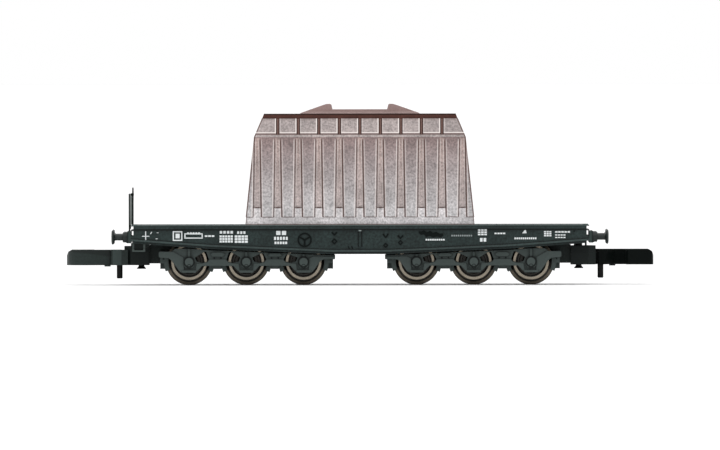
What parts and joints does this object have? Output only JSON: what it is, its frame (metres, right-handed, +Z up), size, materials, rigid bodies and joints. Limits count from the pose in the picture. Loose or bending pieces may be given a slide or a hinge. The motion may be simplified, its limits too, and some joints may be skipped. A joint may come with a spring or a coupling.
{
  "type": "model flat car",
  "caption": "Small-scale heavy flat car on two three-axle bogies, with swinging couplers, an end railing and a lift-off ribbed hood.",
  "frame": {"origin": "under the middle of the car, on the plane through the bottoms of the wheel flanges", "axes": "+X along the car towards the end without the railing, +Y to the far side, +Z up"},
  "size_m": [0.0708, 0.0138, 0.0218],
  "materials": {
    "frame_paint": "satin",
    "floor_plastic": "matt, moulded plank pattern",
    "bogie_plastic": "satin, moulded",
    "coupler_plastic": "smooth, moulded",
    "buffer_black": "satin, blackened",
    "wheel_metal": "turned, chemically darkened with a bright tyre ring",
    "axle_steel": "turned",
    "pin_steel": "blackened",
    "spring_steel": "rolled strip",
    "ballast_steel": "plain",
    "bush_plastic": "moulded",
    "hood_plastic": "fine metallic grain, dull brown in the recesses"
  },
  "bodies": {
    "car_body": {"underframe": "frame_paint", "deck_floor": "floor_plastic", "headstock_left": "frame_paint", "headstock_right": "frame_paint", "buffer_left_near": "buffer_black", "buffer_left_far": "buffer_black", "buffer_right_near": "buffer_black", "buffer_right_far": "buffer_black", "end_railing": "frame_paint", "brake_handwheel": "frame_paint", "footstep_left": "frame_paint", "footstep_right": "frame_paint", "king_pin_left": "pin_steel", "king_pin_right": "pin_steel", "ballast_weight": "ballast_steel"},
    "bogie_left": {"bogie_frame_left": "bogie_plastic", "brake_gear_left": "bogie_plastic", "pocket_cover_left": "coupler_plastic", "coupler_pin_left": "pin_steel", "coupler_spring_left": "spring_steel"},
    "wheelset_left_inner": {"axle_left_inner": "axle_steel", "near_wheel_left_inner": "wheel_metal", "far_wheel_left_inner": "wheel_metal", "bush_left_inner": "bush_plastic"},
    "wheelset_left_middle": {"axle_left_middle": "axle_steel", "near_wheel_left_middle": "wheel_metal", "far_wheel_left_middle": "wheel_metal", "bush_left_middle": "bush_plastic"},
    "wheelset_left_outer": {"axle_left_outer": "axle_steel", "near_wheel_left_outer": "wheel_metal", "far_wheel_left_outer": "wheel_metal", "bush_left_outer": "bush_plastic"},
    "coupler_left": {"coupler_head_left": "coupler_plastic", "uncoupling_pin_left": "pin_steel"},
    "bogie_right": {"bogie_frame_right": "bogie_plastic", "brake_gear_right": "bogie_plastic", "pocket_cover_right": "coupler_plastic", "coupler_pin_right": "pin_steel", "coupler_spring_right": "spring_steel"},
    "wheelset_right_inner": {"axle_right_inner": "axle_steel", "near_wheel_right_inner": "wheel_metal", "far_wheel_right_inner": "wheel_metal", "bush_right_inner": "bush_plastic"},
    "wheelset_right_middle": {"axle_right_middle": "axle_steel", "near_wheel_right_middle": "wheel_metal", "far_wheel_right_middle": "wheel_metal", "bush_right_middle": "bush_plastic"},
    "wheelset_right_outer": {"axle_right_outer": "axle_steel", "near_wheel_right_outer": "wheel_metal", "far_wheel_right_outer": "wheel_metal", "bush_right_outer": "bush_plastic"},
    "coupler_right": {"coupler_head_right": "coupler_plastic", "uncoupling_pin_right": "pin_steel"},
    "hood": {"hood_shell": "hood_plastic", "lifting_saddle": "hood_plastic"}
  },
  "joints": [
    {"name": "bogie_left_swivel", "type": "hinge", "parent": "car_body", "child": "bogie_left", "pos_m": [-0.01371, 0, 0.0051], "axis": [0, 0, 1], "range_deg": [-8, 8]},
    {"name": "wheelset_left_inner_spin", "type": "hinge", "parent": "bogie_left", "child": "wheelset_left_inner", "pos_m": [-0.00681, 0, 0.0028], "axis": [0, 1, 0], "continuous": true},
    {"name": "wheelset_left_middle_spin", "type": "hinge", "parent": "bogie_left", "child": "wheelset_left_middle", "pos_m": [-0.01371, 0, 0.0028], "axis": [0, 1, 0], "continuous": true},
    {"name": "wheelset_left_outer_spin", "type": "hinge", "parent": "bogie_left", "child": "wheelset_left_outer", "pos_m": [-0.02061, 0, 0.0028], "axis": [0, 1, 0], "continuous": true},
    {"name": "coupler_left_swing", "type": "hinge", "parent": "bogie_left", "child": "coupler_left", "pos_m": [-0.0264, 0, 0.0034], "axis": [0, 0, 1], "range_deg": [-12, 12], "stiffness_Nm_per_rad": 0.00005, "deforming": ["coupler_spring_left"]},
    {"name": "bogie_right_swivel", "type": "hinge", "parent": "car_body", "child": "bogie_right", "pos_m": [0.01371, 0, 0.0051], "axis": [0, 0, 1], "range_deg": [-8, 8]},
    {"name": "wheelset_right_inner_spin", "type": "hinge", "parent": "bogie_right", "child": "wheelset_right_inner", "pos_m": [0.00681, 0, 0.0028], "axis": [0, 1, 0], "continuous": true},
    {"name": "wheelset_right_middle_spin", "type": "hinge", "parent": "bogie_right", "child": "wheelset_right_middle", "pos_m": [0.01371, 0, 0.0028], "axis": [0, 1, 0], "continuous": true},
    {"name": "wheelset_right_outer_spin", "type": "hinge", "parent": "bogie_right", "child": "wheelset_right_outer", "pos_m": [0.02061, 0, 0.0028], "axis": [0, 1, 0], "continuous": true},
    {"name": "coupler_right_swing", "type": "hinge", "parent": "bogie_right", "child": "coupler_right", "pos_m": [0.0264, 0, 0.0034], "axis": [0, 0, 1], "range_deg": [-12, 12], "stiffness_Nm_per_rad": 0.00005, "deforming": ["coupler_spring_right"]},
    {"name": "hood_lift", "type": "slide", "parent": "car_body", "child": "hood", "axis": [0, 0, 1], "range_m": [0, 0.02]}
  ]
}
